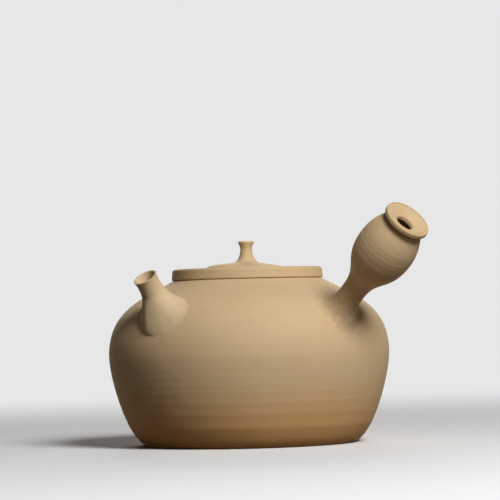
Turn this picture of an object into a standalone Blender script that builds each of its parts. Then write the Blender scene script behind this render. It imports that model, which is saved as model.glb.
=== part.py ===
"""Clay kettle with a short spout, a hollow side handle and a loose lid.

Metres, +Z up. The origin is the centre of the underside, the spout points along -X and
the handle along -Y. Every piece is one that the potter throws or rolls by itself and
joins to its neighbour with slip before the firing, so each joint is a thin seam.
"""

import math

import bmesh
import bpy
import numpy as np
from mathutils import Matrix, Vector

# Seam between two pieces that touch, and between the lid and its seat
SEAM = 0.0003

# Pot: its outline runs from the foot over the belly to the flat ring under the lid
FOOT_RADIUS = 0.0515
BELLY_RADIUS = 0.07005
BELLY_HEIGHT = 0.045
SEAT_RADIUS = 0.0372
SEAT_HEIGHT = 0.082
MOUTH_RADIUS = 0.0315
MOUTH_THICKNESS = 0.0036
MOUTH_BEVEL = 0.0006
POT_WALL = 0.003
FLOOR_THICKNESS = 0.004

# Spout: levels are counted along its axis from the pot's surface
SPOUT_ELEVATION = math.radians(55.3)
SPOUT_LENGTH = 0.01785
SPOUT_LIP_RADIUS = 0.0062
SPOUT_WAIST_RADIUS = 0.0055
SPOUT_WAIST_LEVEL = 0.0134
SPOUT_ROOT_RADIUS = 0.008
SPOUT_ROOT_LEVEL = 0.002
SPOUT_WALL = 0.0013

# Handle: a thrown bulb on a narrow stem, with a turned ring on its end
HANDLE_ELEVATION = math.radians(42.5)
STEM_RADIUS = 0.006
STEM_LEVEL = 0.0128
BULB_RADIUS = 0.01435
BULB_LEVEL = 0.0416
NECK_RADIUS = 0.0098
NECK_LEVEL = 0.0575
HANDLE_WALL = 0.0026
END_RING_RADIUS = 0.0117
END_RING_THICKNESS = 0.0041
END_RING_HOLE_RADIUS = 0.0043
END_RING_EDGE = 0.0011
END_RING_FUNNEL = 0.0021

# Luting coils: rolls of soft clay smoothed into the corners at both roots
COIL_EDGE = 0.0003
SPOUT_COIL_LEVEL = 0.0085
SPOUT_COIL_RADIUS = 0.0148
HANDLE_COIL_LEVEL = 0.009
HANDLE_COIL_RADIUS = 0.0116

# Lid: heights are counted from the seat
LID_RADIUS = 0.0376
LID_EDGE_HEIGHT = 0.0053
LID_EDGE_TAPER = 0.0004
LID_EDGE_ROUND = 0.0009
LID_BAND_RADIUS = 0.0225
LID_DOME_RISE = 0.0025
LID_WALL = 0.0034
FLANGE_PLAY = 0.0009
FLANGE_WALL = 0.003
FLANGE_DEPTH = 0.0055

# Knob: heights are counted from its own foot
KNOB_FOOT_RADIUS = 0.006
KNOB_NECK_RADIUS = 0.0029
KNOB_NECK_HEIGHT = 0.0065
KNOB_RADIUS = 0.004
KNOB_FLARE_HEIGHT = 0.0097
KNOB_HEIGHT = 0.0107
KNOB_EDGE = 0.0004

# Handles of the curves, as shares of the step between a curve's two ends
POT_FOOT_SHARES = ((0.53, 0.05), (1.0, 0.745))
POT_SHOULDER_SHARES = ((0.0, 0.65), (0.575, 0.785))
SPOUT_LIP_SHARES = ((0.85, 0.3), (1.0, 0.6))
SPOUT_ROOT_SHARES = ((0.0, 0.45), (0.6, 0.6))
BULB_RISE_SHARES = ((0.0, 0.46), (1.0, 0.46))
BULB_NECK_SHARES = ((0.0, 0.5), (0.59, 0.785))
SPOUT_COIL_SHARES = ((0.12, 0.4), (0.45, 0.9))
HANDLE_COIL_SHARES = ((0.03, 0.6), (0.4, 0.97))
DOME_SHARES = ((0.3, 0.6), (0.62, 0.97))
KNOB_FOOT_SHARES = ((0.55, 0.12), (1.0, 0.45))
KNOB_FLARE_SHARES = ((0.0, 0.5), (0.74, 0.75))

# Places of the two roots on the shoulder's curve, from the belly at 0 to the seat at 1
SPOUT_PLACE_SHARE = 0.484
HANDLE_PLACE_SHARE = 0.394

# Headings of the spout and the handle, seen from above
SPOUT_HEADING = math.radians(180.0)
HANDLE_HEADING = math.radians(-90.0)

# Fired clay: colour, roughness and the angle above which an edge stays crisp
CLAY = (0.62, 0.46, 0.28, 1.0)
CLAY_ROUGHNESS = 0.75
CRISP_ANGLE = math.radians(38.0)

# Counts of faces: round the pot, round the pieces on it, and along the curves
POT_SIDES = 48
ROOT_SIDES = 32
KNOB_SIDES = 24
FINE_STEPS = 48
POT_STEPS = 8
INSIDE_STEPS = 9
CURVE_STEPS = 5
BULB_STEPS = 6
ARC_STEPS = 3
BISECTIONS = 40
WELD = 1e-6


def curve(start, end, shares, places):
    """Points of a cubic curve, at places from 0 at its start to 1 at its end."""
    start, end = np.array(start), np.array(end)
    first, second = (start + (end - start) * np.array(share) for share in shares)
    t = np.array(places).reshape(-1, 1)
    return (
        (1 - t) ** 3 * start
        + 3 * (1 - t) ** 2 * t * first
        + 3 * (1 - t) * t**2 * second
        + t**3 * end
    )


def steps(count):
    return np.linspace(0, 1, count + 1)


def arc(centre, radii, start_degrees, end_degrees):
    """Points of a stretch of an ellipse in a piece's section."""
    turns = np.radians(np.linspace(start_degrees, end_degrees, ARC_STEPS + 1))
    return np.column_stack(
        (centre[0] + radii[0] * np.cos(turns), centre[1] + radii[1] * np.sin(turns))
    )


def shoulder(places):
    return curve(
        (BELLY_RADIUS, BELLY_HEIGHT), (SEAT_RADIUS, SEAT_HEIGHT), POT_SHOULDER_SHARES, places
    )


def pot_outline(count):
    """The pot's outer side as (radius, height), from the foot up to the seat."""
    lower = curve((FOOT_RADIUS, 0), (BELLY_RADIUS, BELLY_HEIGHT), POT_FOOT_SHARES, steps(count))
    return np.vstack((lower, shoulder(steps(count))[1:]))


def pot_inside():
    """The pot's inner side, a wall's thickness inside the outer one, from floor to mouth."""
    outline = pot_outline(FINE_STEPS)
    run = np.gradient(outline, axis=0)
    inward = np.column_stack((-run[:, 1], run[:, 0])) / np.hypot(*run.T)[:, None]
    radius, height = (outline + POT_WALL * inward).T
    top = SEAT_HEIGHT - MOUTH_THICKNESS
    heights = FLOOR_THICKNESS + (top - FLOOR_THICKNESS) * np.sin(steps(INSIDE_STEPS) * math.pi / 2)
    return np.column_stack((np.interp(heights, height, radius), heights))


def clearance(points):
    """Distance of points from the pot's outer surface, below zero inside it."""
    outline = pot_outline(FINE_STEPS)
    flat = np.stack((np.hypot(points[..., 0], points[..., 1]), points[..., 2]), -1)
    start, run = outline[:-1], np.diff(outline, axis=0)
    offset = flat[..., None, :] - start
    share = np.clip((offset * run).sum(-1) / (run**2).sum(-1), 0, 1)
    away = offset - share[..., None] * run
    distance = np.linalg.norm(away, axis=-1)
    nearest = distance.argmin(-1)[..., None]
    side = run[:, 1] * away[..., 0] - run[:, 0] * away[..., 1]
    return np.take_along_axis(distance * np.sign(side), nearest, -1)[..., 0]


def root_frame(place_share, heading, elevation):
    """A frame on the pot's surface, with +Z along a piece's axis and +X level."""
    radius, height = shoulder([place_share])[0]
    level = Vector((-math.sin(heading), math.cos(heading), 0))
    outward = Vector((math.cos(heading), math.sin(heading), 0))
    axis = outward * math.cos(elevation) + Vector((0, 0, math.sin(elevation)))
    frame = Matrix((level, axis.cross(level), axis)).transposed().to_4x4()
    frame.translation = outward * radius + Vector((0, 0, height))
    return frame


def on_pot(frame, radius, turns):
    """Levels at which lines parallel to a root's axis stand a seam's width off the pot."""
    rows = np.array(frame)
    low, high = np.full(turns.shape, -2 * radius), np.full(turns.shape, 2 * radius)
    for _ in range(BISECTIONS):
        middle = (low + high) / 2
        local = np.stack((radius * np.cos(turns), radius * np.sin(turns), middle), -1)
        outside = clearance(local @ rows[:3, :3].T + rows[:3, 3]) > SEAM
        low, high = np.where(outside, low, middle), np.where(outside, middle, high)
    return high


def add_object(name, build, material, parent=None):
    """An object named for its piece, with the mesh that build puts together."""
    mesh = bpy.data.meshes.new(name)
    shape = bmesh.new()
    build(shape)
    bmesh.ops.remove_doubles(shape, verts=shape.verts, dist=WELD)
    bmesh.ops.recalc_face_normals(shape, faces=shape.faces)
    shape.to_mesh(mesh)
    shape.free()
    mesh.shade_smooth()
    mesh.set_sharp_from_angle(angle=CRISP_ANGLE)
    mesh.materials.append(material)
    piece = bpy.data.objects.new(name, mesh)
    piece.parent = parent
    bpy.context.collection.objects.link(piece)
    return piece


def add_axis(name, frame):
    """An empty on the axis that a group of pieces shares."""
    axis = bpy.data.objects.new(name, None)
    axis.matrix_world = frame
    bpy.context.collection.objects.link(axis)
    return axis


def turned(section, sides):
    """Builds a round piece by spinning its section, (radius, height), about its axis."""

    def build(shape):
        points = [shape.verts.new((radius, 0, height)) for radius, height in section]
        whole = section[0][0] > 0
        ends = points[1:] + points[:1] if whole else points[1:]
        edges = [shape.edges.new(pair) for pair in zip(points, ends)]
        bmesh.ops.spin(
            shape, geom=points + edges, axis=(0, 0, 1), cent=(0, 0, 0),
            angle=math.tau, steps=sides, use_merge=True,
        )

    return build


def rooted(sections):
    """Builds a ring of closed sections, one a turn, each a row of (x, y, z)."""

    def build(shape):
        loops = [[shape.verts.new(point) for point in section] for section in sections]
        for loop, following in zip(loops, loops[1:] + loops[:1]):
            pairs = zip(loop, loop[1:] + loop[:1], following[1:] + following[:1], following)
            for quad in pairs:
                shape.faces.new(quad)

    return build


def around(section, turns):
    """The section's (radius, level) points set at each turn; a level may change round it."""
    places = []
    for index, turn in enumerate(turns):
        row = [(radius, np.broadcast_to(level, turns.shape)[index]) for radius, level in section]
        places.append([(r * math.cos(turn), r * math.sin(turn), level) for r, level in row])
    return places


def root_turns():
    return np.linspace(0, math.tau, ROOT_SIDES, endpoint=False)


def standing_tube(frame, outside, wall, crown=()):
    """A tube that stands on the pot: its outside runs from its root to its open end."""
    turns = root_turns()
    bore = [(radius - wall, level) for radius, level in reversed(outside)]
    feet = [outside[0][0], outside[0][0] - wall / 2, outside[0][0] - wall]
    soles = [(radius, on_pot(frame, radius, turns)) for radius in reversed(feet)]
    return rooted(around([*outside, *crown, *bore, *soles], turns))


def luting_coil(frame, tube, top_level, reach, shares):
    """A roll smoothed into the corner between a tube and the pot."""
    turns = root_turns()
    radii, levels = np.array(tube).T
    top_radius = np.interp(top_level, levels, radii) + SEAM
    inner = [(radius + SEAM, level) for radius, level in tube if level < top_level]
    root = inner[0][0]
    sole = [(radius, on_pot(frame, radius, turns)) for radius in (root, (root + reach) / 2, reach)]
    edge = on_pot(frame, reach, turns) + COIL_EDGE
    sections = []
    for index, turn in enumerate(turns):
        outer = curve(
            (top_radius + COIL_EDGE, top_level), (reach, edge[index]), shares, steps(CURVE_STEPS)
        )
        section = [(radius, level[index]) for radius, level in sole]
        section += [*outer[::-1], (top_radius, top_level), *inner[::-1]]
        sections += around(section, np.array([turn]))
    return rooted(sections)


def spout_outside():
    """The spout's outer side as (radius, level), from its root to below its lip."""
    waist = (SPOUT_WAIST_RADIUS, SPOUT_WAIST_LEVEL)
    lip = (SPOUT_LIP_RADIUS, SPOUT_LENGTH - SPOUT_WALL / 2)
    root = curve(waist, (SPOUT_ROOT_RADIUS, SPOUT_ROOT_LEVEL), SPOUT_ROOT_SHARES, steps(CURVE_STEPS))
    flare = curve(lip, waist, SPOUT_LIP_SHARES, steps(ARC_STEPS))
    return [tuple(point) for point in (*root[::-1], *flare[::-1][1:])]


def handle_outside():
    """The handle's outer side as (radius, level), from its root over the bulb to its neck."""
    stem = (STEM_RADIUS, STEM_LEVEL)
    bulb = (BULB_RADIUS, BULB_LEVEL)
    rise = curve(stem, bulb, BULB_RISE_SHARES, steps(BULB_STEPS))
    neck = curve(bulb, (NECK_RADIUS, NECK_LEVEL), BULB_NECK_SHARES, steps(CURVE_STEPS))
    root = (STEM_RADIUS, STEM_RADIUS / 2)
    return [root, *(tuple(point) for point in (*rise, *neck[1:]))]


def pot_section():
    """The pot's closed section, from its underside round to its floor."""
    seat = (MOUTH_RADIUS + MOUTH_BEVEL, SEAT_HEIGHT)
    mouth = (MOUTH_RADIUS, SEAT_HEIGHT - MOUTH_BEVEL)
    sill = (MOUTH_RADIUS, SEAT_HEIGHT - MOUTH_THICKNESS)
    inside = pot_inside()[::-1]
    return [(0, 0), *pot_outline(POT_STEPS), seat, mouth, sill, *inside, (0, FLOOR_THICKNESS)]


def end_ring_section():
    """The ring on the handle's end: a round edge, a flat face and a funnel to its hole."""
    base = NECK_LEVEL + SEAM
    face = base + END_RING_THICKNESS
    edge = (END_RING_RADIUS - END_RING_EDGE, face - END_RING_EDGE)
    funnel = (END_RING_HOLE_RADIUS + END_RING_FUNNEL, face - END_RING_FUNNEL)
    return [
        (END_RING_HOLE_RADIUS, base),
        (NECK_RADIUS, base),
        (END_RING_RADIUS, face - 2 * END_RING_EDGE),
        *arc(edge, (END_RING_EDGE, END_RING_EDGE), 0, 90),
        *arc(funnel, (END_RING_FUNNEL, END_RING_FUNNEL), 90, 180),
    ]


def lid_section():
    """The lid's closed section, from the crest of its dome round to its hollow."""
    top = SEAM + LID_EDGE_HEIGHT
    crest = (KNOB_FOOT_RADIUS, top + LID_DOME_RISE)
    dome = curve((LID_BAND_RADIUS, top), crest, DOME_SHARES, steps(CURVE_STEPS))[::-1]
    corner = (LID_RADIUS - LID_EDGE_TAPER - LID_EDGE_ROUND, top - LID_EDGE_ROUND)
    ceiling = np.array(dome)[::-1] - (0, LID_WALL)
    return [
        (0, crest[1]),
        *dome,
        *arc(corner, (LID_EDGE_ROUND, LID_EDGE_ROUND), 90, 0),
        (LID_RADIUS, SEAM),
        (flange_radius() - FLANGE_WALL, SEAM),
        *ceiling,
        (0, crest[1] - LID_WALL),
    ]


def flange_radius():
    return MOUTH_RADIUS - FLANGE_PLAY


def flange_section():
    """The ring under the lid that drops into the mouth."""
    inner = flange_radius() - FLANGE_WALL
    bevel = (flange_radius(), MOUTH_BEVEL - FLANGE_DEPTH)
    return [
        (inner, 0),
        (inner, -FLANGE_DEPTH),
        (flange_radius() - MOUTH_BEVEL, -FLANGE_DEPTH),
        bevel,
        (flange_radius(), 0),
    ]


def knob_section():
    """The knob: a concave stem that opens into a small flat button."""
    base = SEAM + LID_EDGE_HEIGHT + LID_DOME_RISE + SEAM
    neck = (KNOB_NECK_RADIUS, KNOB_NECK_HEIGHT)
    rise = curve((KNOB_FOOT_RADIUS, 0), neck, KNOB_FOOT_SHARES, steps(CURVE_STEPS))
    flare = curve(neck, (KNOB_RADIUS, KNOB_FLARE_HEIGHT), KNOB_FLARE_SHARES, steps(ARC_STEPS))
    corner = (KNOB_RADIUS - KNOB_EDGE, KNOB_HEIGHT - KNOB_EDGE)
    edge = arc(corner, (KNOB_EDGE, KNOB_EDGE), 0, 90)
    side = [(radius, base + height) for radius, height in (*rise, *flare[1:], *edge)]
    return [(0, base), *side, (0, base + KNOB_HEIGHT)]


def clay(name):
    """Unglazed fired clay."""
    material = bpy.data.materials.new(name)
    material.use_nodes = True
    shader = material.node_tree.nodes["Principled BSDF"]
    shader.inputs["Base Color"].default_value = CLAY
    shader.inputs["Roughness"].default_value = CLAY_ROUGHNESS
    shader.inputs["Metallic"].default_value = 0.0
    return material


def cut_spout_hole(pot, spout_axis):
    """Opens the pot's wall under the spout, as wide as the spout's bore."""
    radius = SPOUT_ROOT_RADIUS - SPOUT_WALL
    section = [(0, -2 * radius), (radius, -2 * radius), (radius, radius), (0, radius)]
    hole = add_object("spout_hole_cutter", turned(section, ROOT_SIDES), clay("hole"), spout_axis)
    hole.hide_render = True
    hole.display_type = "WIRE"
    cut = pot.modifiers.new("spout_hole", "BOOLEAN")
    cut.object = hole
    cut.operation = "DIFFERENCE"
    cut.solver = "EXACT"


def add_spout():
    frame = root_frame(SPOUT_PLACE_SHARE, SPOUT_HEADING, SPOUT_ELEVATION)
    axis = add_axis("spout_axis", frame)
    side = spout_outside()
    lip = (SPOUT_LIP_RADIUS - SPOUT_WALL / 2, SPOUT_LENGTH - SPOUT_WALL / 2)
    crown = arc(lip, (SPOUT_WALL / 2, SPOUT_WALL / 2), 45, 135)
    tube = standing_tube(frame, side, SPOUT_WALL, crown)
    add_object("spout", tube, clay("spout_clay"), axis)
    coil = luting_coil(
        frame, side, SPOUT_COIL_LEVEL, SPOUT_COIL_RADIUS, SPOUT_COIL_SHARES
    )
    add_object("spout_luting_coil", coil, clay("spout_coil_clay"), axis)
    return axis


def add_handle():
    frame = root_frame(HANDLE_PLACE_SHARE, HANDLE_HEADING, HANDLE_ELEVATION)
    axis = add_axis("handle_axis", frame)
    side = handle_outside()
    add_object("handle", standing_tube(frame, side, HANDLE_WALL), clay("handle_clay"), axis)
    coil = luting_coil(
        frame, side, HANDLE_COIL_LEVEL, HANDLE_COIL_RADIUS, HANDLE_COIL_SHARES
    )
    add_object("handle_luting_coil", coil, clay("handle_coil_clay"), axis)
    add_object(
        "handle_end_ring", turned(end_ring_section(), ROOT_SIDES), clay("end_ring_clay"), axis
    )


def add_lid():
    """The lid, its locating ring and its knob, which lift off together along +Z."""
    axis = add_axis("lid_lift", Matrix.Translation((0, 0, SEAT_HEIGHT)))
    add_object("lid", turned(lid_section(), POT_SIDES), clay("lid_clay"), axis)
    add_object("lid_flange", turned(flange_section(), POT_SIDES), clay("flange_clay"), axis)
    add_object("lid_knob", turned(knob_section(), KNOB_SIDES), clay("knob_clay"), axis)


def main():
    for found in list(bpy.data.objects):
        bpy.data.objects.remove(found)
    pot = add_object("kettle_body", turned(pot_section(), POT_SIDES), clay("pot_clay"))
    cut_spout_hole(pot, add_spout())
    add_handle()
    add_lid()


main()
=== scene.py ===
import math

import bmesh
import bpy
import numpy as np
from mathutils import Matrix, Vector, noise


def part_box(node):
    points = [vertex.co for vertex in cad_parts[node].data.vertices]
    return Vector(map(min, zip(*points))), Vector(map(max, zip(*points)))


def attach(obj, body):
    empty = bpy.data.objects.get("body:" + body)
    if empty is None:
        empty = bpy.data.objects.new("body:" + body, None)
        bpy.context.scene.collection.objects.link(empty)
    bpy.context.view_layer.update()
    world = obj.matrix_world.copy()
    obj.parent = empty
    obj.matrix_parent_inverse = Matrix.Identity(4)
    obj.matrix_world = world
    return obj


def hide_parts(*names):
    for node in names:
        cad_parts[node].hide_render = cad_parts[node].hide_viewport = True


# A squat clay kettle with a hollow side handle, thrown, luted together and fired bare.
# Metres, +Z up. The spout points along -X and the handle along -Y.
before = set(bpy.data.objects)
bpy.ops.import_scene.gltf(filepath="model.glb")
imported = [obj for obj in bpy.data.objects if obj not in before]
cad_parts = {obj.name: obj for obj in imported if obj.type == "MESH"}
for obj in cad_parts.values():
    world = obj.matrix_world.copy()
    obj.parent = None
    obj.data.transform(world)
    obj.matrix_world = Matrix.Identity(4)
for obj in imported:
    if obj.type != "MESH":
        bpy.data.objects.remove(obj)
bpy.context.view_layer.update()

mm = 0.001


# small tools for outlines; every outline is a row of (radius, height)

def curveWeights(count):
    # what each of a curve's four points weighs, along the curve
    t = np.linspace(0, 1, count)[:, None]
    return (1 - t) ** 3, 3 * (1 - t) ** 2 * t, 3 * (1 - t) * t ** 2, t ** 3


def curveTo(start, end, handles, count=70):
    # the two handles are shares of the step from start to end
    start, end = np.array(start, float), np.array(end, float)
    first, second = (start + (end - start) * np.array(share) for share in handles)
    return sum(weight * point for weight, point in zip(curveWeights(count), (start, first, second, end)))


def runLength(outline):
    return np.r_[0, np.cumsum(np.hypot(*np.diff(outline, axis=0).T))]


def evenly(outline, gap):
    length = runLength(outline)
    places = np.linspace(0, length[-1], max(2, int(length[-1] / gap)) + 1)
    return np.column_stack([np.interp(places, length, column) for column in outline.T])


def sponged(outline, spread, gap=0.06 * mm):
    # wipes every sharp corner round, as a wet sponge does
    fine = evenly(outline, gap)
    reach = int(4 * spread / gap)
    weights = np.exp(-0.5 * (np.arange(-reach, reach + 1) * gap / spread) ** 2)
    weights /= weights.sum()
    head = 2 * fine[0] - fine[reach:0:-1]
    tail = 2 * fine[-1] - fine[-2:-reach - 2:-1]
    longer = np.vstack((head, fine, tail))
    return np.column_stack([np.convolve(column, weights, "valid") for column in longer.T])


def outwards(outline):
    run = np.gradient(outline, axis=0)
    return np.column_stack((run[:, 1], -run[:, 0])) / np.hypot(*run.T)[:, None]


def thinned(outline, turnLimit, gap):
    # keeps a ring wherever the outline has turned or run on enough
    run = np.diff(outline, axis=0)
    heading = np.unwrap(np.arctan2(run[:, 1], run[:, 0]))
    step = np.hypot(*run.T)
    kept, turned, gone = [0], 0.0, 0.0
    for place in range(1, len(outline) - 1):
        turned += abs(heading[place] - heading[place - 1])
        gone += step[place - 1]
        if turned > turnLimit or gone > gap:
            kept.append(place)
            turned, gone = 0.0, 0.0
    return outline[kept + [len(outline) - 1]]


def ringMarks(along, marks):
    # sum of soft ridges: each is (place, height, half width)
    return sum(high * np.exp(-((along - place) / wide) ** 2) for place, high, wide in marks)


# small tools for meshes

def spun(outline, sides):
    # one row of points for each ring of the outline
    turns = np.linspace(0, math.tau, sides, endpoint=False)
    radius, height = outline[:, :1], outline[:, 1:]
    return np.stack((radius * np.cos(turns), radius * np.sin(turns),
                     np.repeat(height, sides, axis=1)), -1)


def skinned(name, rows, loop=False):
    # joins rows of points into one closed, smooth skin
    rings, sides = rows.shape[:2]
    index = np.arange(rings * sides).reshape(rings, sides)
    low, high = (index, np.roll(index, -1, 0)) if loop else (index[:-1], index[1:])
    quads = np.stack((low, np.roll(low, -1, 1), np.roll(high, -1, 1), high), -1)
    mesh = bpy.data.meshes.new(name)
    mesh.from_pydata(rows.reshape(-1, 3).tolist(), [], quads.reshape(-1, 4).tolist())
    shape = bmesh.new()
    shape.from_mesh(mesh)
    bmesh.ops.remove_doubles(shape, verts=shape.verts, dist=0.0005 * mm)
    bmesh.ops.recalc_face_normals(shape, faces=shape.faces)
    shape.to_mesh(mesh)
    shape.free()
    mesh.shade_smooth()
    piece = bpy.data.objects.new(name, mesh)
    bpy.context.collection.objects.link(piece)
    return piece


def pressed(piece, depth, size, keep):
    # finger marks: lumps of that size and finer ones, moved along the skin's own normals
    finer, finerShare = 2.3, 0.5
    mesh = piece.data
    places = np.array([vertex.co for vertex in mesh.vertices])
    share = keep(places)
    for vertex, place, amount in zip(mesh.vertices, places, share):
        if amount > 0.001:
            spot = Vector(place) / size
            lump = noise.noise(spot) + finerShare * noise.noise(spot * finer)
            vertex.co += vertex.normal * (amount * depth * lump)


# how sharply an edge bends, in radians to a metre, where wear begins and where it is full
edgeWear = dict(first=250, full=900)


def rubbedEdgesAndFootGlow(piece, foot=0.0):
    # stores how sharply the skin turns outwards, for the wear on edges, and how near the foot it is, for a
    # paler foot that is partly rubbed and partly painted warm glow from below
    mesh = piece.data
    shape = bmesh.new()
    shape.from_mesh(mesh)
    shape.verts.ensure_lookup_table()
    bend = np.zeros(len(shape.verts))
    for vertex in shape.verts:
        found = [edge.calc_face_angle_signed(0) / max(edge.calc_length(), 0.05 * mm)
                 if len(edge.link_faces) == 2 else 0 for edge in vertex.link_edges]
        bend[vertex.index] = max(found, default=0)
    shape.free()
    wearAndFootGlow = np.clip((bend - edgeWear["first"]) / (edgeWear["full"] - edgeWear["first"]), 0, 1)
    # the foot's paler band: partly a rubbed foot, partly painted warm glow from below
    if foot:
        height = np.array([vertex.co.z for vertex in mesh.vertices])
        wearAndFootGlow = np.maximum(wearAndFootGlow, np.clip(1 - height / foot, 0, 1))
    held = mesh.attributes.new("rubbedAndFootGlow", "FLOAT", "POINT")
    held.data.foreach_set("value", wearAndFootGlow.astype(np.float32))


# the pot

pot = dict(
    footRadius=51.5 * mm,
    bellyRadius=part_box("kettle_body")[1].x,
    bellyHeight=45 * mm,
    seatRadius=37.2 * mm,
    seatHeight=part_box("kettle_body")[1].z,
    mouthRadius=31.5 * mm,
    mouthDepth=3.6 * mm,
    wall=3 * mm,
    floor=4 * mm,
    # the fingers' rings left inside: how far apart and how deep
    innerRings=(6.5 * mm, 0.3 * mm),
    footHandles=((0.53, 0.05), (1.0, 0.745)),
    shoulderHandles=((0.0, 0.65), (0.575, 0.785)),
    sponge=0.22 * mm,
    # the paler band at the foot, this high: partly a rubbed foot, partly painted warm glow from below
    footWearAndGlow=4.5 * mm,
    sides=192,
    turnLimit=math.radians(4),
    ringGap=0.55 * mm,
    # the throwing lines are at full strength from here up
    linesFrom=2 * mm,
    # the throwing lines: height, rise and half width; the boldest is near the foot
    lines=[(3.2 * mm, 0.04 * mm, 1.7 * mm), (10.0 * mm, 0.14 * mm, 2.2 * mm),
           (16.9 * mm, 0.06 * mm, 1.6 * mm), (22.3 * mm, 0.045 * mm, 1.3 * mm),
           (27.1 * mm, 0.03 * mm, 1.2 * mm), (30.6 * mm, 0.03 * mm, 1.0 * mm),
           (34.9 * mm, 0.025 * mm, 1.2 * mm), (39.4 * mm, 0.02 * mm, 1.3 * mm),
           (46.2 * mm, 0.03 * mm, 2.2 * mm), (50.9 * mm, 0.02 * mm, 1.2 * mm),
           (58.0 * mm, 0.03 * mm, 2.4 * mm), (64.0 * mm, 0.012 * mm, 1.5 * mm),
           (72.5 * mm, 0.03 * mm, 2.2 * mm)],
)


def potOutside():
    belly = (pot["bellyRadius"], pot["bellyHeight"])
    lower = curveTo((pot["footRadius"], 0), belly, pot["footHandles"], 160)
    upper = curveTo(belly, (pot["seatRadius"], pot["seatHeight"]), pot["shoulderHandles"], 160)
    return np.vstack((lower, upper[1:]))


def potInside():
    outside = potOutside()
    radius, height = (outside - pot["wall"] * outwards(outside)).T
    sill = pot["seatHeight"] - pot["mouthDepth"]
    heights = np.linspace(sill, pot["floor"], 160)
    apart, depth = pot["innerRings"]
    rings = depth * np.abs(np.sin(math.pi * heights / apart))
    rings *= np.clip((sill - heights) / (2 * apart), 0, 1)
    return np.column_stack((np.interp(heights, height, radius) - rings, heights))


# the turned skin lies this much inside the outline, between its throwing lines
skinDrop = max(mark[1] for mark in pot["lines"])


def makePot():
    wallTop = (pot["mouthRadius"], pot["seatHeight"])
    sill = (pot["mouthRadius"], pot["seatHeight"] - pot["mouthDepth"])
    outline = np.vstack(([(0, 0)], potOutside(), [wallTop, sill], potInside(),
                         [(0, pot["floor"])]))
    outline = sponged(outline, pot["sponge"])
    outline[:, 0] = np.maximum(outline[:, 0], 0)
    outline[0, 0] = outline[-1, 0] = 0
    outer = np.arange(len(outline)) < np.argmax(outline[:, 1])
    rise = np.clip(outline[:, 1] / pot["linesFrom"], 0, 1) * outer
    outline -= outwards(outline) * (rise * (skinDrop - ringMarks(outline[:, 1], pot["lines"])))[:, None]
    outline = thinned(outline, pot["turnLimit"], pot["ringGap"])
    return skinned("clayPot", spun(outline, pot["sides"]))


clayPot = makePot()
print("pot thrown:", len(clayPot.data.polygons), "faces")


# how the spout and the handle stand on the pot

# the turned skin between its throwing lines, which the roots are smeared onto
outsideOfPot = potOutside() - skinDrop * outwards(potOutside())


def rootFrame(radius, height, heading, rise):
    # +Z runs out along the piece and +X lies level
    level = Vector((-math.sin(heading), math.cos(heading), 0))
    outward = Vector((math.cos(heading), math.sin(heading), 0))
    axis = outward * math.cos(rise) + Vector((0, 0, math.sin(rise)))
    made = Matrix((level, axis.cross(level), axis)).transposed().to_4x4()
    made.translation = outward * radius + Vector((0, 0, height))
    return made


def levelOnPot(place, radius, turns):
    # how far along the piece's axis its skin meets the pot, at each turn
    rows = np.array(place)
    low, high = np.full(turns.shape, -2 * np.max(radius)), np.full(turns.shape, 2 * np.max(radius))
    for _ in range(36):
        middle = (low + high) / 2
        local = np.stack((radius * np.cos(turns), radius * np.sin(turns), middle), -1)
        there = local @ rows[:3, :3].T + rows[:3, 3]
        skin = np.interp(there[:, 2], outsideOfPot[:, 1], outsideOfPot[:, 0])
        outside = np.hypot(there[:, 0], there[:, 1]) > skin
        low, high = np.where(outside, low, middle), np.where(outside, middle, high)
    return high


def roundTheRoot(turns, settings):
    # eases a setting from one stated direction to the next; each is (degrees, value)
    degrees = np.array([direction for direction, _ in settings] + [settings[0][0] + 360.0])
    values = np.array([value for _, value in settings] + [settings[0][1]])
    at = (np.degrees(turns) - degrees[0]) % 360 + degrees[0]
    span = np.searchsorted(degrees, at, side="right").clip(1, len(degrees) - 1)
    share = (at - degrees[span - 1]) / (degrees[span] - degrees[span - 1])
    share = share * share * (3 - 2 * share)
    return values[span - 1] + (values[span] - values[span - 1]) * share


def flareRows(place, outline, top, root, turns, count=26):
    # the smeared clay from below the pot's skin up to the tube, as rows of points
    radii, levels = outline.T
    # the step that slopes are read over, the lumps of the ragged edge, and how fast the hidden end dives
    step, lumps, dive = 0.3 * mm, 3, 0.15
    topRadius = np.interp(top, levels, radii)
    lean = (np.interp(top + step, levels, radii) - topRadius) / step
    reach = roundTheRoot(turns, root["reach"]) * mm
    wander = [noise.noise(Vector((lumps * math.cos(turn), lumps * math.sin(turn), 0.7))) for turn in turns]
    reach = reach + root["ragged"] * np.array(wander)
    upper, lower = roundTheRoot(turns, root["upper"]), roundTheRoot(turns, root["lower"])
    lift = roundTheRoot(turns, root["lift"]) * mm
    edge = levelOnPot(place, reach, turns)
    slope = (levelOnPot(place, reach + step, turns) - levelOnPot(place, reach - step, turns)) / (2 * step)
    drop = top - levelOnPot(place, np.full(turns.shape, topRadius), turns)
    width = reach - topRadius
    points = [
        (np.full(turns.shape, topRadius), np.full(turns.shape, top)),
        (topRadius - lean * upper * drop, top - upper * drop),
        (reach - lower * width, edge + lift - lower * width * slope - root["sunk"]),
        (reach, edge - root["sunk"]),
    ]
    weights = curveWeights(count)
    radius = sum(weight * point[0] for weight, point in zip(weights, points))
    level = sum(weight * point[1] for weight, point in zip(weights, points))
    beyond = np.linspace(0, 1, 6)[1:, None] * root["tail"]
    radius = np.vstack((radius, reach + beyond))
    sinking = [levelOnPot(place, reach + gone, turns) - root["sunk"] - dive * gone ** 2 / root["tail"]
               for gone in beyond]
    level = np.vstack((level, sinking))
    rows = np.stack((radius * np.cos(turns), radius * np.sin(turns), level), -1)
    return rows[::-1]


# the spout

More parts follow.
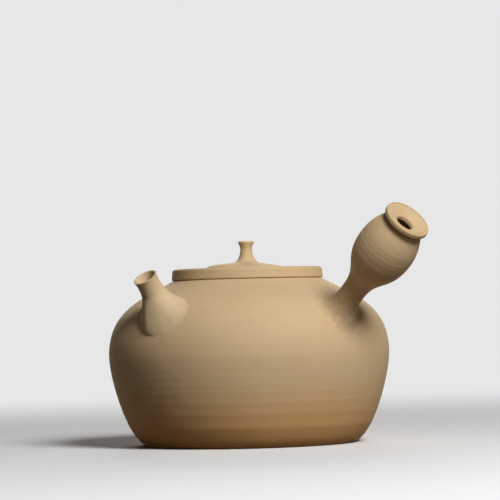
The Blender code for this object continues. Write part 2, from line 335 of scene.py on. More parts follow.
spout = dict(
    root=(59.48 * mm, 69.03 * mm),
    heading=math.pi,
    rise=math.radians(55.3),
    length=17.7 * mm,
    lipRadius=6.07 * mm,
    waist=(5.5 * mm, 13.4 * mm),
    throat=(8 * mm, 2 * mm),
    wall=(1.7 * mm, 0.85 * mm),
    funnel=5 * mm,
    lipHandles=((0.85, 0.3), (1.0, 0.6)),
    throatHandles=((0.0, 0.45), (0.6, 0.6)),
    flareTop=9 * mm,
    lip=0.14 * mm,
    boreSunk=0.6 * mm,
    sides=144,
    turnLimit=math.radians(9),
    ringGap=0.6 * mm,
)
# the smeared root, as (degrees round the axis, value): reach is how far from the axis it ends and lift
# how much the curve is raised near that end, both in mm; upper and lower are shares, the handles' lengths
spoutRoot = dict(
    reach=[(-90, 15.3), (-70, 16.3), (-48, 18.2), (-28, 19.8), (-10, 19.5), (5, 17.6), (24, 14.4),
           (48, 10.8), (90, 9.8), (135, 11.2), (180, 12.4), (210, 12.3), (235, 12.5), (255, 13.9)],
    upper=[(-90, 0.2), (-50, 0.2), (-22, 0.34), (5, 0.5), (40, 0.5), (110, 0.4), (180, 0.45),
           (212, 0.45), (240, 0.25)],
    lower=[(-90, 0.05), (-60, 0.24), (-20, 0.32), (8, 0.42), (40, 0.3), (110, 0.3), (180, 0.34),
           (212, 0.18), (240, 0.03)],
    lift=[(-95, 3.6), (-72, 1.8), (-48, 0), (180, 0), (212, 0.8), (237, 2.9)],
    sunk=0.03 * mm,
    tail=2 * mm,
    ragged=0.1 * mm,
)


def makeSpout():
    place = rootFrame(*spout["root"], spout["heading"], spout["rise"])
    turns = np.linspace(0, math.tau, spout["sides"], endpoint=False)
    lipEdge = (spout["lipRadius"], spout["length"])
    flare = curveTo(spout["waist"], spout["throat"], spout["throatHandles"])[::-1]
    neck = curveTo(lipEdge, spout["waist"], spout["lipHandles"])[::-1]
    outside = np.vstack((flare, neck[1:]))
    wall = np.interp(outside[:, 1], (spout["length"] - spout["funnel"], spout["length"]), spout["wall"])
    bore = outside - wall[:, None] * outwards(outside)
    bore[:, 1] = np.minimum(bore[:, 1], spout["length"])
    tube = outside[outside[:, 1] > spout["flareTop"]]
    side = np.vstack((tube, [(spout["lipRadius"] - spout["wall"][1], spout["length"])], bore[::-1][1:]))
    side = thinned(sponged(side, spout["lip"]), spout["turnLimit"], spout["ringGap"])
    rows = [*flareRows(place, outside, spout["flareTop"], spoutRoot, turns)[:-1],
            *spun(side, spout["sides"])]
    foot = bore[0, 0]
    floor = levelOnPot(place, np.full(turns.shape, foot), turns) - spout["boreSunk"]
    under = np.stack((foot * np.cos(turns), foot * np.sin(turns), floor), -1)
    return skinned("claySpout", np.array([*rows, under]), loop=True), place


claySpout, spoutPlace = makeSpout()
print("spout luted on:", len(claySpout.data.polygons), "faces")


# the handle: stem, bulb and end ring as one skin

handle = dict(
    root=(62.71 * mm, 65.9 * mm),
    heading=-math.pi / 2,
    rise=math.radians(42.5),
    stem=(6 * mm, 12.8 * mm),
    bulb=(14.4 * mm, 41.6 * mm),
    neck=(9.85 * mm, 57.4 * mm),
    riseHandles=((0.0, 0.46), (1.0, 0.46)),
    neckHandles=((0.0, 0.5), (0.59, 0.785)),
    undercut=(7.8 * mm, 58.2 * mm),
    ringRadius=11.53 * mm,
    ringUnder=58.9 * mm,
    ringBevel=0.6 * mm,
    face=61.75 * mm,
    lipWidth=0.75 * mm,
    lipFlat=0.1 * mm,
    lipRound=(0.3 * mm, 0.8 * mm),
    lipDrop=0.12 * mm,
    grooveRadius=10.45 * mm,
    grooveWidth=0.5 * mm,
    grooveDepth=0.65 * mm,
    grooveShoulder=(0.2 * mm, 0.1 * mm),
    holeRadius=4.2 * mm,
    holeBottom=57 * mm,
    holeRound=0.8 * mm,
    holeDraft=0.1 * mm,
    boreEnd=0.5 * mm,
    dishEdge=(0.25 * mm, 0.08 * mm),
    dishFoot=(5.3 * mm, 59.45 * mm),
    holeTop=(4.4 * mm, 58.85 * mm),
    dishHandles=((0.3, 0.2), (0.7, 0.66)),
    wall=2.6 * mm,
    flareTop=9.4 * mm,
    sponge=0.13 * mm,
    sides=144,
    turnLimit=math.radians(5),
    ringGap=0.5 * mm,
    # the throwing ridges round the bulb: level, height and half width
    ridges=[(28.9 * mm, 0.02 * mm, 1.2 * mm), (32.7 * mm, 0.04 * mm, 1.2 * mm),
            (36.6 * mm, 0.055 * mm, 1.0 * mm), (40.4 * mm, 0.065 * mm, 0.95 * mm),
            (41.8 * mm, 0.03 * mm, 0.6 * mm), (42.9 * mm, 0.08 * mm, 0.65 * mm),
            (45.3 * mm, 0.045 * mm, 0.6 * mm), (47.6 * mm, 0.055 * mm, 0.65 * mm),
            (49.9 * mm, 0.015 * mm, 0.7 * mm)],
)
handleRoot = dict(
    reach=[(-90, 13.8), (-60, 11.9), (-43, 10.3), (-28, 9.6), (60, 9.4), (110, 9.6), (150, 10.4),
           (190, 11.0), (225, 12.0), (250, 13.2)],
    upper=[(-90, 0.5), (-45, 0.35), (-20, 0.5), (60, 0.5), (147, 0.72), (190, 0.66), (235, 0.5)],
    lower=[(-90, 0.4), (-65, 0.3), (-42, 0.1), (-10, 0.2), (60, 0.3), (147, 0.42), (190, 0.48),
           (235, 0.4)],
    lift=[(-90, 0), (-42, 0.2), (0, 0)],
    sunk=0.03 * mm,
    tail=2 * mm,
    ragged=0.4 * mm,
)


def makeHandle():
    place = rootFrame(*handle["root"], handle["heading"], handle["rise"])
    turns = np.linspace(0, math.tau, handle["sides"], endpoint=False)
    rise = curveTo(handle["stem"], handle["bulb"], handle["riseHandles"])
    neck = curveTo(handle["bulb"], handle["neck"], handle["neckHandles"])
    root = np.array([(handle["stem"][0], 0), handle["stem"]])
    body = evenly(np.vstack((root, rise[1:], neck[1:])), 0.1 * mm)
    bore = body - handle["wall"] * outwards(body)
    tallest = max(ridge[1] for ridge in handle["ridges"])
    body = body - outwards(body) * (tallest - ringMarks(body[:, 1], handle["ridges"]))[:, None]
    hole, face, ring = handle["holeRadius"], handle["face"], handle["ringRadius"]
    groove, below = handle["grooveRadius"], handle["ringUnder"]
    inset, dip = handle["dishEdge"]
    dish = curveTo((groove - handle["grooveWidth"] - inset, face - dip), handle["dishFoot"],
                   handle["dishHandles"], 24)
    bevel, (roundIn, roundDown) = handle["ringBevel"], handle["lipRound"]
    shoulderOut, shoulderDown = handle["grooveShoulder"]
    crown = np.array([
        handle["undercut"],
        (ring - bevel, below),
        (ring, below + bevel),
        (ring, face - roundDown),
        (ring - roundIn, face - handle["lipDrop"]),
        (ring - handle["lipWidth"] + handle["lipFlat"], face),
        (groove + shoulderOut, face - shoulderDown),
        (groove, face - handle["grooveDepth"]),
        (groove - handle["grooveWidth"], face - handle["grooveDepth"]),
    ])
    inner = np.array([handle["holeTop"], (hole, handle["holeTop"][1] - handle["holeRound"]),
                      (hole - handle["holeDraft"], handle["holeBottom"]),
                      (bore[-1, 0], handle["holeBottom"] - handle["holeDraft"])])
    side = np.vstack((body[body[:, 1] > handle["flareTop"]], crown, dish, inner,
                      bore[bore[:, 1] < handle["holeBottom"] - handle["boreEnd"]][::-1]))
    side = thinned(sponged(side, handle["sponge"]), handle["turnLimit"], handle["ringGap"])
    rows = [*flareRows(place, body, handle["flareTop"], handleRoot, turns)[:-1],
            *spun(side, handle["sides"])]
    return skinned("clayHandle", np.array(rows), loop=True), place


clayHandle, handlePlace = makeHandle()
print("handle luted on:", len(clayHandle.data.polygons), "faces")


# the lid: plate, flange and knob as one skin

lid = dict(
    seat=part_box("kettle_body")[1].z,
    gap=0.08 * mm,
    radius=37.75 * mm,
    taper=0.4 * mm,
    top=87.55 * mm,
    edge=0.75 * mm,
    foot=0.33 * mm,
    band=20.6 * mm,
    crest=(7.4 * mm, 89.99 * mm),
    domeHandles=((0.3, 0.6), (0.62, 0.97)),
    flangeRadius=30.6 * mm,
    flangeWall=3 * mm,
    flangeDepth=5.5 * mm,
    wall=3.4 * mm,
    sponge=0.12 * mm,
    # the dome is fuller towards one heading than away from it: (radius, rise) in mm for each side
    fullHeading=math.radians(135),
    fuller=[(5.5, 0), (7, 0.36), (9, 0.25), (15, 0.43), (17, 0.64), (19, 0.8), (21, 0.3), (23.5, 0)],
    flatter=[(5.5, 0), (7, 0.14), (9, -0.2), (15, -0.4), (18, -0.35), (19.5, 0)],
    knobShift=0.2 * mm,
    shiftHeight=3 * mm,
    lineBand=0.8 * mm,
    upperBlend=(0.1 * mm, 0.2 * mm),
    sides=192,
    turnLimit=math.radians(6),
    ringGap=0.9 * mm,
    lines=[(83.4 * mm, 0.05 * mm, 0.25 * mm), (84.6 * mm, 0.035 * mm, 0.25 * mm),
           (85.7 * mm, 0.05 * mm, 0.25 * mm)],
)
knob = dict(
    neck=(2.9 * mm, 96.9 * mm),
    flare=(3.8 * mm, 99.95 * mm),
    top=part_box("lid_knob")[1].z,
    radius=4 * mm,
    edge=0.45 * mm,
    dome=0.05 * mm,
    undercut=(0.05 * mm, 0.1 * mm),
    footHandles=((0.5, 0.06), (0.94, 0.36)),
    flareHandles=((0.0, 0.5), (0.74, 0.75)),
)


def makeLid():
    crest, top, under = lid["crest"], lid["top"], lid["seat"] + lid["gap"]
    dome = curveTo((lid["band"], top), crest, lid["domeHandles"])[::-1]
    foot = curveTo(crest, knob["neck"], knob["footHandles"])
    flare = curveTo(knob["neck"], knob["flare"], knob["flareHandles"])
    underIn, underUp = knob["undercut"]
    button = np.array([
        (0, knob["top"]),
        (knob["radius"] - knob["edge"], knob["top"] - knob["dome"]),
        (knob["radius"], knob["top"] - knob["edge"]),
        (knob["radius"] - underIn, knob["flare"][1] + underUp),
    ])
    rim = lid["radius"] - lid["taper"]
    plate = np.array([
        (rim - lid["edge"], top),
        (rim, top - lid["edge"]),
        (lid["radius"], under + lid["foot"]),
        (lid["radius"] - lid["foot"], under),
    ])
    inner = lid["flangeRadius"] - lid["flangeWall"]
    low = lid["seat"] - lid["flangeDepth"]
    flange = np.array([(lid["flangeRadius"], under), (lid["flangeRadius"], low), (inner, low),
                       (inner, top - lid["wall"])])
    ceiling = dome[::-1] - (0, lid["wall"])
    outline = np.vstack((button, flare[::-1], foot[::-1][1:], dome[1:], plate, flange, ceiling,
                         [(0, crest[1] - lid["wall"])]))
    outline = sponged(outline, lid["sponge"])
    outline[:, 0] = np.maximum(outline[:, 0], 0)
    outline[0, 0] = outline[-1, 0] = 0
    onSide = np.abs(outline[:, 0] - lid["radius"]) < lid["lineBand"]
    lines = ringMarks(outline[:, 1], lid["lines"]) * onSide
    outline = thinned(outline - outwards(outline) * lines[:, None], lid["turnLimit"], lid["ringGap"])
    rows = spun(outline, lid["sides"])
    radius = np.hypot(rows[..., 0], rows[..., 1])
    below, blend = lid["upperBlend"]
    upper = np.clip((rows[..., 2] - top + below) / blend, 0, 1)
    fuller, flatter = (np.interp(radius, *np.array(lid[half]).T * mm)
                       for half in ("fuller", "flatter"))
    side = np.cos(np.arctan2(rows[..., 1], rows[..., 0]) - lid["fullHeading"])
    rows[..., 2] += upper * np.where(side > 0, side * fuller, -side * flatter)
    shift = np.clip((rows[..., 2] - top) / lid["shiftHeight"], 0, 1) * lid["knobShift"]
    rows[..., 0] += shift * math.cos(lid["fullHeading"])
    rows[..., 1] += shift * math.sin(lid["fullHeading"])
    return skinned("clayLid", rows)


clayLid = makeLid()
print("lid turned:", len(clayLid.data.polygons), "faces")

# the way from the pot into the spout

hole = dict(radius=6.7 * mm, depth=16 * mm, height=5 * mm, sides=64)
outline = np.array([(0, -hole["depth"]), (hole["radius"], -hole["depth"]),
                    (hole["radius"], hole["height"]), (0, hole["height"])])
spoutHole = skinned("spoutHole", spun(outline, hole["sides"]))
spoutHole.hide_render = True
spoutHole.display_type = "WIRE"
cut = clayPot.modifiers.new("spoutHole", "BOOLEAN")
cut.object = spoutHole
cut.operation = "DIFFERENCE"
cut.solver = "EXACT"

# finger marks, left where wet clay was smoothed over the joins

handleMarks = dict(depth=0.26 * mm, size=3.2 * mm, under=6 * mm, low=1.5 * mm, high=13 * mm)
spoutMarks = dict(depth=0.03 * mm, size=4.5 * mm, under=6 * mm, low=1.5 * mm, high=11 * mm)


def nearRoot(marks):
    def keep(places):
        rise = np.clip((places[:, 2] + marks["under"]) / marks["under"], 0, 1)
        fall = np.clip((marks["high"] - places[:, 2]) / (marks["high"] - marks["low"]), 0, 1)
        return rise * fall
    return keep


pressed(clayHandle, handleMarks["depth"], handleMarks["size"], nearRoot(handleMarks))
pressed(claySpout, spoutMarks["depth"], spoutMarks["size"], nearRoot(spoutMarks))
for piece, place in ((claySpout, spoutPlace), (spoutHole, spoutPlace), (clayHandle, handlePlace)):
    piece.data.transform(place)
rubbedEdgesAndFootGlow(clayPot, pot["footWearAndGlow"])
for piece in (claySpout, clayHandle, clayLid):
    rubbedEdgesAndFootGlow(piece)
print("joins smoothed and edges marked")


# node tools

def newGroup(name, inputs, outputs):
    tree = bpy.data.node_groups.new(name, "ShaderNodeTree")
    for label, kind, value in inputs:
        socket = tree.interface.new_socket(label, in_out="INPUT", socket_type=kind)
        if value is not None:
            socket.default_value = value
    for label, kind in outputs:
        tree.interface.new_socket(label, in_out="OUTPUT", socket_type=kind)
    return tree, tree.nodes.new("NodeGroupInput"), tree.nodes.new("NodeGroupOutput")


def node(tree, kind, sockets=None, **settings):
    made = tree.nodes.new(kind)
    for key, value in settings.items():
        setattr(made, key, value)
    for key, value in (sockets or {}).items():
        if isinstance(value, bpy.types.NodeSocket):
            tree.links.new(value, made.inputs[key])
        else:
            made.inputs[key].default_value = value
    return made


def sums(tree, operation, first, second=0.0):
    return node(tree, "ShaderNodeMath", {0: first, 1: second}, operation=operation).outputs[0]


def eased(tree, value, low, high):
    made = node(tree, "ShaderNodeMapRange", {"Value": value, "From Min": low, "From Max": high},
                interpolation_type="SMOOTHSTEP")
    return made.outputs["Result"]


def mixed(tree, share, first, second, blend="MIX"):
    made = node(tree, "ShaderNodeMix", {"Factor": share}, data_type="RGBA", blend_type=blend)
    for socket, value in ((made.inputs[6], first), (made.inputs[7], second)):
        if isinstance(value, bpy.types.NodeSocket):
            tree.links.new(value, socket)
        else:
            socket.default_value = value
    return made.outputs[2]


number, colour, direction = "NodeSocketFloat", "NodeSocketColor", "NodeSocketVector"

# what stays the same in each shared finish; scales are in lumps to a metre
finish = dict(toastGlowScale=30.0, toastGlowDrift=8 * mm, smearDrift=8 * mm, rubScale=900.0, rubSmoother=0.08,
              sandDark=-0.16, grainRough=0.16, blushStart=3.7, blushScale=2.7)


def buildWheelMarks():
    # fine rings left by the wheel: the noise is read by radius and height alone
    tree, given, made = newGroup(
        "wheelMarks",
        [("Vector", direction, None), ("Spacing", number, 1.0 * mm), ("Depth", number, 0.01 * mm),
         ("Patches", number, 20 * mm), ("Keep", number, 1.0)],
        [("Height", number), ("Tone", number)])
    apart = node(tree, "ShaderNodeSeparateXYZ", {0: given.outputs["Vector"]})
    radius = sums(tree, "SQRT", sums(tree, "ADD", sums(tree, "POWER", apart.outputs[0], 2.0),
                                     sums(tree, "POWER", apart.outputs[1], 2.0)))
    flat = node(tree, "ShaderNodeCombineXYZ", {0: radius, 2: apart.outputs[2]})
    scale = sums(tree, "DIVIDE", 1.0, given.outputs["Spacing"])
    rings = node(tree, "ShaderNodeTexNoise", {"Vector": flat.outputs[0], "Scale": scale,
                                              "Detail": 3.0, "Roughness": 0.62})
    patchScale = sums(tree, "DIVIDE", 1.0, given.outputs["Patches"])
    patches = node(tree, "ShaderNodeTexNoise", {"Vector": given.outputs["Vector"],
                                                "Scale": patchScale, "Detail": 1.0})
    share = sums(tree, "MULTIPLY", eased(tree, patches.outputs["Fac"], 0.3, 0.66),
                 given.outputs["Keep"])
    centred = sums(tree, "SUBTRACT", rings.outputs["Fac"], 0.5)
    marks = sums(tree, "MULTIPLY", centred, share)
    tree.links.new(sums(tree, "MULTIPLY", marks, given.outputs["Depth"]), made.inputs["Height"])
    tree.links.new(marks, made.inputs["Tone"])
    return tree


def buildClayBody():
    # the bare clay: broad warm and pale patches, fine grain and a few dark grains of sand
    tree, given, made = newGroup(
        "clayBody",
        [("Vector", direction, None), ("Clay", colour, (0.6, 0.46, 0.28, 1)),
         ("Patch Size", number, 26 * mm), ("Patchiness", number, 0.05),
         ("Grain Size", number, 0.45 * mm), ("Grain", number, 0.05),
         ("Grain Depth", number, 0.01 * mm), ("Rough", number, 0.78)],
        [("Color", colour), ("Roughness", number), ("Height", number)])
    vector = given.outputs["Vector"]
    patchScale = sums(tree, "DIVIDE", 1.0, given.outputs["Patch Size"])
    grainScale = sums(tree, "DIVIDE", 1.0, given.outputs["Grain Size"])
    patches = node(tree, "ShaderNodeTexNoise", {"Vector": vector, "Scale": patchScale,
                                                "Detail": 4.0, "Roughness": 0.55})
    blush = node(tree, "ShaderNodeTexNoise",
                 {"Vector": vector, "Scale": sums(tree, "MULTIPLY", patchScale, finish["blushScale"]),
                  "Detail": 3.0, "Roughness": 0.6}, noise_dimensions="4D")
    blush.inputs["W"].default_value = finish["blushStart"]
    grain = node(tree, "ShaderNodeTexNoise", {"Vector": vector, "Scale": grainScale,
                                              "Detail": 3.0, "Roughness": 0.7})
    sand = node(tree, "ShaderNodeTexVoronoi",
                {"Vector": vector, "Scale": sums(tree, "MULTIPLY", grainScale, 0.4)})
    clay = given.outputs["Clay"]
    tint = node(tree, "ShaderNodeHueSaturation", {"Hue": 0.497, "Saturation": 1.02, "Value": 0.99,
                                                  "Color": clay})
    warm = mixed(tree, eased(tree, blush.outputs["Fac"], 0.45, 0.7), clay, tint.outputs[0])
    light = sums(tree, "MULTIPLY", sums(tree, "SUBTRACT", patches.outputs["Fac"], 0.5),
                 given.outputs["Patchiness"])
    fine = sums(tree, "MULTIPLY", sums(tree, "SUBTRACT", grain.outputs["Fac"], 0.5),
                given.outputs["Grain"])
    speck = eased(tree, sand.outputs["Distance"], 0.22, 0.08)
    rare = eased(tree, node(tree, "ShaderNodeSeparateColor", {0: sand.outputs["Color"]}).outputs[0],
                 0.86, 0.9)
    dark = sums(tree, "MULTIPLY", sums(tree, "MULTIPLY", speck, rare), finish["sandDark"])
    level = sums(tree, "ADD", sums(tree, "ADD", sums(tree, "MULTIPLY", light, 2.0), fine),
                 sums(tree, "ADD", dark, 1.0))
    shaded = node(tree, "ShaderNodeHueSaturation", {"Value": level, "Color": warm})
    tree.links.new(shaded.outputs[0], made.inputs["Color"])
    rough = sums(tree, "ADD", given.outputs["Rough"],
                 sums(tree, "MULTIPLY", sums(tree, "SUBTRACT", grain.outputs["Fac"], 0.5),
                      finish["grainRough"]))
    tree.links.new(rough, made.inputs["Roughness"])
    tree.links.new(sums(tree, "MULTIPLY", sums(tree, "SUBTRACT", grain.outputs["Fac"], 0.5),
                        given.outputs["Grain Depth"]), made.inputs["Height"])
    return tree


def buildToastAndGlow():
    # the flame's toasting of the clay together with a painted warm glow from the fire below, strongest at
    # the foot and gone by the belly
    tree, given, made = newGroup(
        "toastAndPaintedGlow",
        [("Vector", direction, None), ("Color", colour, None), ("Toast And Glow", colour, (1, 1, 1, 1)),
         ("Top", number, 26 * mm), ("Amount", number, 1.0)],
        [("Color", colour)])
    apart = node(tree, "ShaderNodeSeparateXYZ", {0: given.outputs["Vector"]})
    cloud = node(tree, "ShaderNodeTexNoise", {"Vector": given.outputs["Vector"],
                                              "Scale": finish["toastGlowScale"], "Detail": 2.0})
    drift = sums(tree, "MULTIPLY", sums(tree, "SUBTRACT", cloud.outputs["Fac"], 0.5),
                 finish["toastGlowDrift"])
    height = sums(tree, "ADD", apart.outputs[2], drift)
    share = node(tree, "ShaderNodeMapRange",
                 {"Value": height, "From Min": 0.0, "From Max": given.outputs["Top"], "To Min": 1.0,
                  "To Max": 0.0}, interpolation_type="SMOOTHSTEP")
    share = sums(tree, "MULTIPLY", share.outputs["Result"], given.outputs["Amount"])
    warm = mixed(tree, share, given.outputs["Color"], given.outputs["Toast And Glow"], "MULTIPLY")
    tree.links.new(warm, made.inputs["Color"])
    return tree


def buildSmears():
    # patches of slip wiped over a join, round the point where the piece meets the pot
    tree, given, made = newGroup(
        "slipSmears",
        [("Vector", direction, None), ("Centre", direction, None), ("Radius", number, 15 * mm),
         ("Size", number, 3 * mm), ("Depth", number, 0.06 * mm)],
        [("Mask", number), ("Height", number), ("Tone", number)])
    away = node(tree, "ShaderNodeVectorMath", {0: given.outputs["Vector"],
                                               1: given.outputs["Centre"]}, operation="DISTANCE")
    scale = sums(tree, "DIVIDE", 1.0, given.outputs["Size"])
    cloud = node(tree, "ShaderNodeTexNoise", {"Vector": given.outputs["Vector"], "Scale": scale,
                                              "Detail": 4.0, "Roughness": 0.6, "Distortion": 0.6})
    ragged = sums(tree, "MULTIPLY", sums(tree, "SUBTRACT", cloud.outputs["Fac"], 0.5),
                  finish["smearDrift"])
    share = sums(tree, "DIVIDE", sums(tree, "ADD", away.outputs["Value"], ragged),
                 given.outputs["Radius"])
    mask = eased(tree, share, 1.15, 0.6)
    centred = sums(tree, "SUBTRACT", cloud.outputs["Fac"], 0.5)
    wiped = sums(tree, "MULTIPLY", centred, mask)
    tree.links.new(mask, made.inputs["Mask"])
    tree.links.new(sums(tree, "MULTIPLY", wiped, given.outputs["Depth"]), made.inputs["Height"])
    tree.links.new(wiped, made.inputs["Tone"])
    return tree


def buildEdgeRubAndFootGlow():
    # edges and rims that hands and stacking have rubbed a little paler and smoother; on the pot's foot the
    # same paling is partly painted warm glow from below
    tree, given, made = newGroup(
        "edgeRubAndFootGlow",
        [("Vector", direction, None), ("Color", colour, None), ("Roughness", number, 0.78),
         ("Rubbed And Foot Glow", number, 0.0), ("Paler", number, 0.1)],
        [("Color", colour), ("Roughness", number)])
    broken = node(tree, "ShaderNodeTexNoise", {"Vector": given.outputs["Vector"],
                                               "Scale": finish["rubScale"], "Detail": 2.0})
    share = sums(tree, "MULTIPLY", given.outputs["Rubbed And Foot Glow"],
                 eased(tree, broken.outputs["Fac"], 0.3, 0.6))
    gain = sums(tree, "ADD", sums(tree, "MULTIPLY", share, given.outputs["Paler"]), 1.0)
    pale = node(tree, "ShaderNodeHueSaturation", {"Value": gain, "Saturation": 0.97,
                                                  "Color": given.outputs["Color"]})
    tree.links.new(mixed(tree, share, given.outputs["Color"], pale.outputs[0]),
                   made.inputs["Color"])
    tree.links.new(sums(tree, "SUBTRACT", given.outputs["Roughness"],
                        sums(tree, "MULTIPLY", share, finish["rubSmoother"])),
                   made.inputs["Roughness"])
    return tree


wheelMarks, clayBody, toastAndGlow = buildWheelMarks(), buildClayBody(), buildToastAndGlow()
slipSmears, edgeRubAndFootGlow = buildSmears(), buildEdgeRubAndFootGlow()


def clayMaterial(name, look, place, smears=()):
    material = bpy.data.materials.new(name)
    material.use_nodes = True
    tree = material.node_tree
    shader = tree.nodes["Principled BSDF"]
    # clay runs on from piece to piece in the kettle's frame; wheel marks follow a piece's axis
    shared = own = node(tree, "ShaderNodeTexCoord").outputs["Object"]
    if place is not None:
        own = node(tree, "ShaderNodeMapping", {"Vector": shared, "Location": place.to_translation(),
                                               "Rotation": place.to_euler()},
                   vector_type="TEXTURE").outputs["Vector"]
    body = node(tree, "ShaderNodeGroup", node_tree=clayBody)
    tree.links.new(shared, body.inputs["Vector"])
    body.inputs["Clay"].default_value = (*look["clay"], 1)
    for label in ("Patch Size", "Patchiness", "Grain Size", "Grain", "Grain Depth", "Rough"):
        body.inputs[label].default_value = look[label]
    height, tone, keep = body.outputs["Height"], None, 1.0
    for smear in smears:
        wiped = node(tree, "ShaderNodeGroup", node_tree=slipSmears)
        tree.links.new(shared, wiped.inputs["Vector"])
        wiped.inputs["Centre"].default_value = smear["centre"]
        wiped.inputs["Radius"].default_value = smear["radius"]
        wiped.inputs["Size"].default_value = smear["size"]
        wiped.inputs["Depth"].default_value = smear["depth"]
        height = sums(tree, "ADD", height, wiped.outputs["Height"])
        shift = sums(tree, "MULTIPLY", wiped.outputs["Tone"], smear["tone"])
        tone = shift if tone is None else sums(tree, "ADD", tone, shift)
        keep = sums(tree, "MULTIPLY", keep, sums(tree, "SUBTRACT", 1.0, wiped.outputs["Mask"]))
    for spacing, depth, patches, stain in look["marks"]:
        marks = node(tree, "ShaderNodeGroup", node_tree=wheelMarks)
        tree.links.new(own, marks.inputs["Vector"])
        marks.inputs["Spacing"].default_value = spacing
        marks.inputs["Depth"].default_value = depth
        marks.inputs["Patches"].default_value = patches
        if isinstance(keep, bpy.types.NodeSocket):
            tree.links.new(keep, marks.inputs["Keep"])
        height = sums(tree, "ADD", height, marks.outputs["Height"])
        shift = sums(tree, "MULTIPLY", marks.outputs["Tone"], stain)
        tone = shift if tone is None else sums(tree, "ADD", tone, shift)
    toned = node(tree, "ShaderNodeHueSaturation", {"Value": sums(tree, "ADD", tone, 1.0),
                                                   "Color": body.outputs["Color"]})
    # painted warm glow from the fire below, together with the flame's toasting, strongest towards the foot
    warmed = node(tree, "ShaderNodeGroup", node_tree=toastAndGlow)
    tree.links.new(shared, warmed.inputs["Vector"])
    tree.links.new(toned.outputs[0], warmed.inputs["Color"])
    warmed.inputs["Toast And Glow"].default_value = (*look["toastAndGlowTint"], 1)
    warmed.inputs["Top"].default_value = look["toastGlowTop"]
    warmed.inputs["Amount"].default_value = look["toastGlowAmount"]
    rubbedAndFootGlow = node(tree, "ShaderNodeGroup", node_tree=edgeRubAndFootGlow)
    wearAndGlowShare = node(tree, "ShaderNodeAttribute", attribute_name="rubbedAndFootGlow")
    tree.links.new(shared, rubbedAndFootGlow.inputs["Vector"])
    tree.links.new(warmed.outputs["Color"], rubbedAndFootGlow.inputs["Color"])
    tree.links.new(body.outputs["Roughness"], rubbedAndFootGlow.inputs["Roughness"])
    tree.links.new(wearAndGlowShare.outputs["Fac"], rubbedAndFootGlow.inputs["Rubbed And Foot Glow"])
    rubbedAndFootGlow.inputs["Paler"].default_value = look["paler"]
    bump = node(tree, "ShaderNodeBump", {"Height": height, "Distance": 1.0, "Strength": 1.0})
    tree.links.new(rubbedAndFootGlow.outputs["Color"], shader.inputs["Base Color"])
    tree.links.new(rubbedAndFootGlow.outputs["Roughness"], shader.inputs["Roughness"])
    tree.links.new(bump.outputs["Normal"], shader.inputs["Normal"])
    shader.inputs["Metallic"].default_value = 0.0
    shader.inputs["Specular IOR Level"].default_value = look["gloss"]
    shader.inputs["Diffuse Roughness"].default_value = look["chalk"]
    return material


# the clay's looks; each piece changes only what differs

clayLook = {
    "clay": (0.62, 0.45, 0.25), "Patch Size": 26 * mm, "Patchiness": 0.035,
    "Grain Size": 0.5 * mm, "Grain": 0.06, "Grain Depth": 0.012 * mm, "Rough": 0.78,
    # the foot's warm tint: the flame's toasting and a painted warm glow from the fire below
    "toastAndGlowTint": (1.06, 0.81, 0.5), "toastGlowTop": 39 * mm, "toastGlowAmount": 1.0, "paler": 0.1,
    "gloss": 0.45, "chalk": 0.0,
    "marks": [(1.1 * mm, 0.04 * mm, 18 * mm, 0.17), (0.35 * mm, 0.01 * mm, 9 * mm, 0.12)],
}
# paler also lifts the pot's foot: partly rubbed, partly painted warm glow from below
potLook = dict(clayLook, paler=0.35)
handleLook = dict(clayLook, paler=0.04, marks=[(0.9 * mm, 0.03 * mm, 16 * mm, 0.12),
                                               (0.35 * mm, 0.008 * mm, 6 * mm, 0.08)])
# the spout's paler clay is painted light: it stands in for the washed-out brightness of its lit side
spoutLook = dict(clayLook, clay=(0.65, 0.49, 0.29), marks=[(0.9 * mm, 0.03 * mm, 12 * mm, 0.12)])
lidLook = dict(clayLook, paler=0.2, marks=[(0.8 * mm, 0.02 * mm, 20 * mm, 0.12),
                                           (0.3 * mm, 0.006 * mm, 8 * mm, 0.08)])
spoutSmear = dict(centre=spoutPlace.to_translation(), radius=17 * mm, size=5 * mm,
                  depth=0.08 * mm, tone=0.16)
handleSmear = dict(centre=handlePlace.to_translation(), radius=18 * mm, size=3 * mm,
                   depth=0.3 * mm, tone=0.42)
clayPot.data.materials.append(clayMaterial("potClay", potLook, None, (spoutSmear, handleSmear)))
claySpout.data.materials.append(clayMaterial("spoutClay", spoutLook, spoutPlace, (spoutSmear,)))
clayHandle.data.materials.append(clayMaterial("handleClay", handleLook, handlePlace, (handleSmear,)))
clayLid.data.materials.append(clayMaterial("lidClay", lidLook, None))
print("clay fired")

# every piece rides on its body and stands for its solids

for piece, body, slot, nodes in (
    (clayPot, "kettle", "pot_clay", ["kettle_body"]),
    (claySpout, "kettle", "spout_clay", ["spout", "spout_luting_coil"]),
    (clayHandle, "kettle", "handle_clay", ["handle", "handle_luting_coil", "handle_end_ring"]),
    (clayLid, "lid", "lid_clay", ["lid", "lid_flange", "lid_knob"]),
):
    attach(piece, body)
    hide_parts(*nodes)
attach(spoutHole, "kettle")

# floor, backdrop and light

studio = dict(backdrop=0.8, floor=0.9, bounce=(0.11, 0.078, 0.05), floorRadius=30.0, near=0.2, far=0.9,
              fill=0.022, fillColour=(1, 0.76, 0.5))
floorMesh = bpy.data.meshes.new("studioFloor")
shape = bmesh.new()
bmesh.ops.create_circle(shape, cap_ends=True, radius=studio["floorRadius"], segments=96)
shape.to_mesh(floorMesh)
shape.free()
studioFloor = bpy.data.objects.new("studioFloor", floorMesh)
bpy.context.collection.objects.link(studioFloor)


def shownRays(tree):
    # rays that show the backdrop: straight to the camera, mirrored or through glass
    path = node(tree, "ShaderNodeLightPath")
    seen = sums(tree, "MAXIMUM", path.outputs["Is Camera Ray"], path.outputs["Is Glossy Ray"])
    return sums(tree, "MAXIMUM", seen, path.outputs["Is Transmission Ray"])


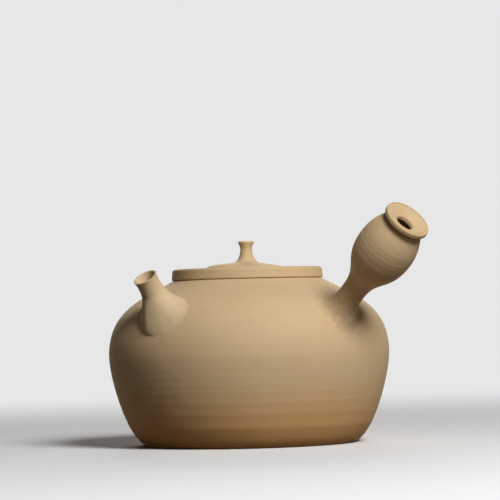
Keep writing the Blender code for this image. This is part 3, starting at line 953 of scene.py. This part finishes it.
material = bpy.data.materials.new("floorPaper")
material.use_nodes = True
tree = material.node_tree
tree.nodes.clear()
seen = shownRays(tree)
tone = mixed(tree, seen, (*studio["bounce"], 1), (*[studio["floor"]] * 3, 1))
paper = node(tree, "ShaderNodeBsdfDiffuse", {"Color": tone})
glow = node(tree, "ShaderNodeEmission", {"Color": (*[studio["backdrop"]] * 3, 1)})
place = node(tree, "ShaderNodeTexCoord").outputs["Object"]
away = node(tree, "ShaderNodeVectorMath", {0: place}, operation="LENGTH").outputs["Value"]
share = sums(tree, "MULTIPLY", eased(tree, away, studio["near"], studio["far"]), seen)
blend = node(tree, "ShaderNodeMixShader", {0: share, 1: paper.outputs[0], 2: glow.outputs[0]})
node(tree, "ShaderNodeOutputMaterial", {"Surface": blend.outputs[0]})
floorMesh.materials.append(material)

world = bpy.data.worlds.new("studioAir")
bpy.context.scene.world = world
world.use_nodes = True
tree = world.node_tree
tree.nodes.clear()
fill = node(tree, "ShaderNodeBackground", {"Color": (*studio["fillColour"], 1),
                                             "Strength": studio["fill"]})
seen = node(tree, "ShaderNodeBackground", {"Color": (*[studio["backdrop"]] * 3, 1), "Strength": 1.0})
blend = node(tree, "ShaderNodeMixShader", {0: shownRays(tree), 1: fill.outputs[0],
                                           2: seen.outputs[0]})
node(tree, "ShaderNodeOutputWorld", {"Surface": blend.outputs[0]})

# the camera looks along this heading; lamps are placed by their angle from it
viewHeading = math.radians(-45)
towards = Vector((math.sin(viewHeading), -math.cos(viewHeading), 0))
right = Vector((math.cos(viewHeading), math.sin(viewHeading), 0))
target = Vector((0, 0, 55 * mm))


# each lamp: degrees round from the camera, degrees up, distance and width in metres, and its level
lamps = dict(
    keyLamp=(29, 38, 1.3, 0.5, 0.94),
    frontLamp=(12, 8, 1.6, 0.7, 0.025),
    backLamp=(180, 20, 1.4, 0.7, 0.3),
)


def softbox(name, turn, rise, distance, size, level):
    # level 1 lights a surface that faces the lamp at its own colour
    turn, rise = math.radians(turn), math.radians(rise)
    way = (towards * math.cos(turn) + right * math.sin(turn)) * math.cos(rise)
    way += Vector((0, 0, math.sin(rise)))
    lamp = bpy.data.lights.new(name, "AREA")
    lamp.shape = "DISK"
    lamp.size = size
    lamp.energy = level * (math.pi * distance) ** 2
    made = bpy.data.objects.new(name, lamp)
    made.location = target + way * distance
    made.rotation_euler = (-way).to_track_quat("-Z", "Y").to_euler()
    bpy.context.collection.objects.link(made)


for name, settings in lamps.items():
    softbox(name, *settings)

# camera

view = dict(distance=1300 * mm, height=63.5 * mm, aimRight=1.73 * mm, aimHeight=96.6 * mm,
            roll=math.radians(1.45), lens=187.2, sensor=36.0, farthest=100.0)
eye = bpy.data.cameras.new("photoView")
eye.lens = view["lens"]
eye.sensor_width = view["sensor"]
eye.clip_end = view["farthest"]
camera = bpy.data.objects.new("photoView", eye)
camera.location = towards * view["distance"] + Vector((0, 0, view["height"]))
aim = right * view["aimRight"] + Vector((0, 0, view["aimHeight"])) - camera.location
camera.rotation_euler = (aim.to_track_quat("-Z", "Y").to_matrix()
                         @ Matrix.Rotation(-view["roll"], 3, "Z")).to_euler()
bpy.context.collection.objects.link(camera)
bpy.context.scene.camera = camera
bpy.context.scene.view_settings.view_transform = "Standard"

print("studio set, camera placed")
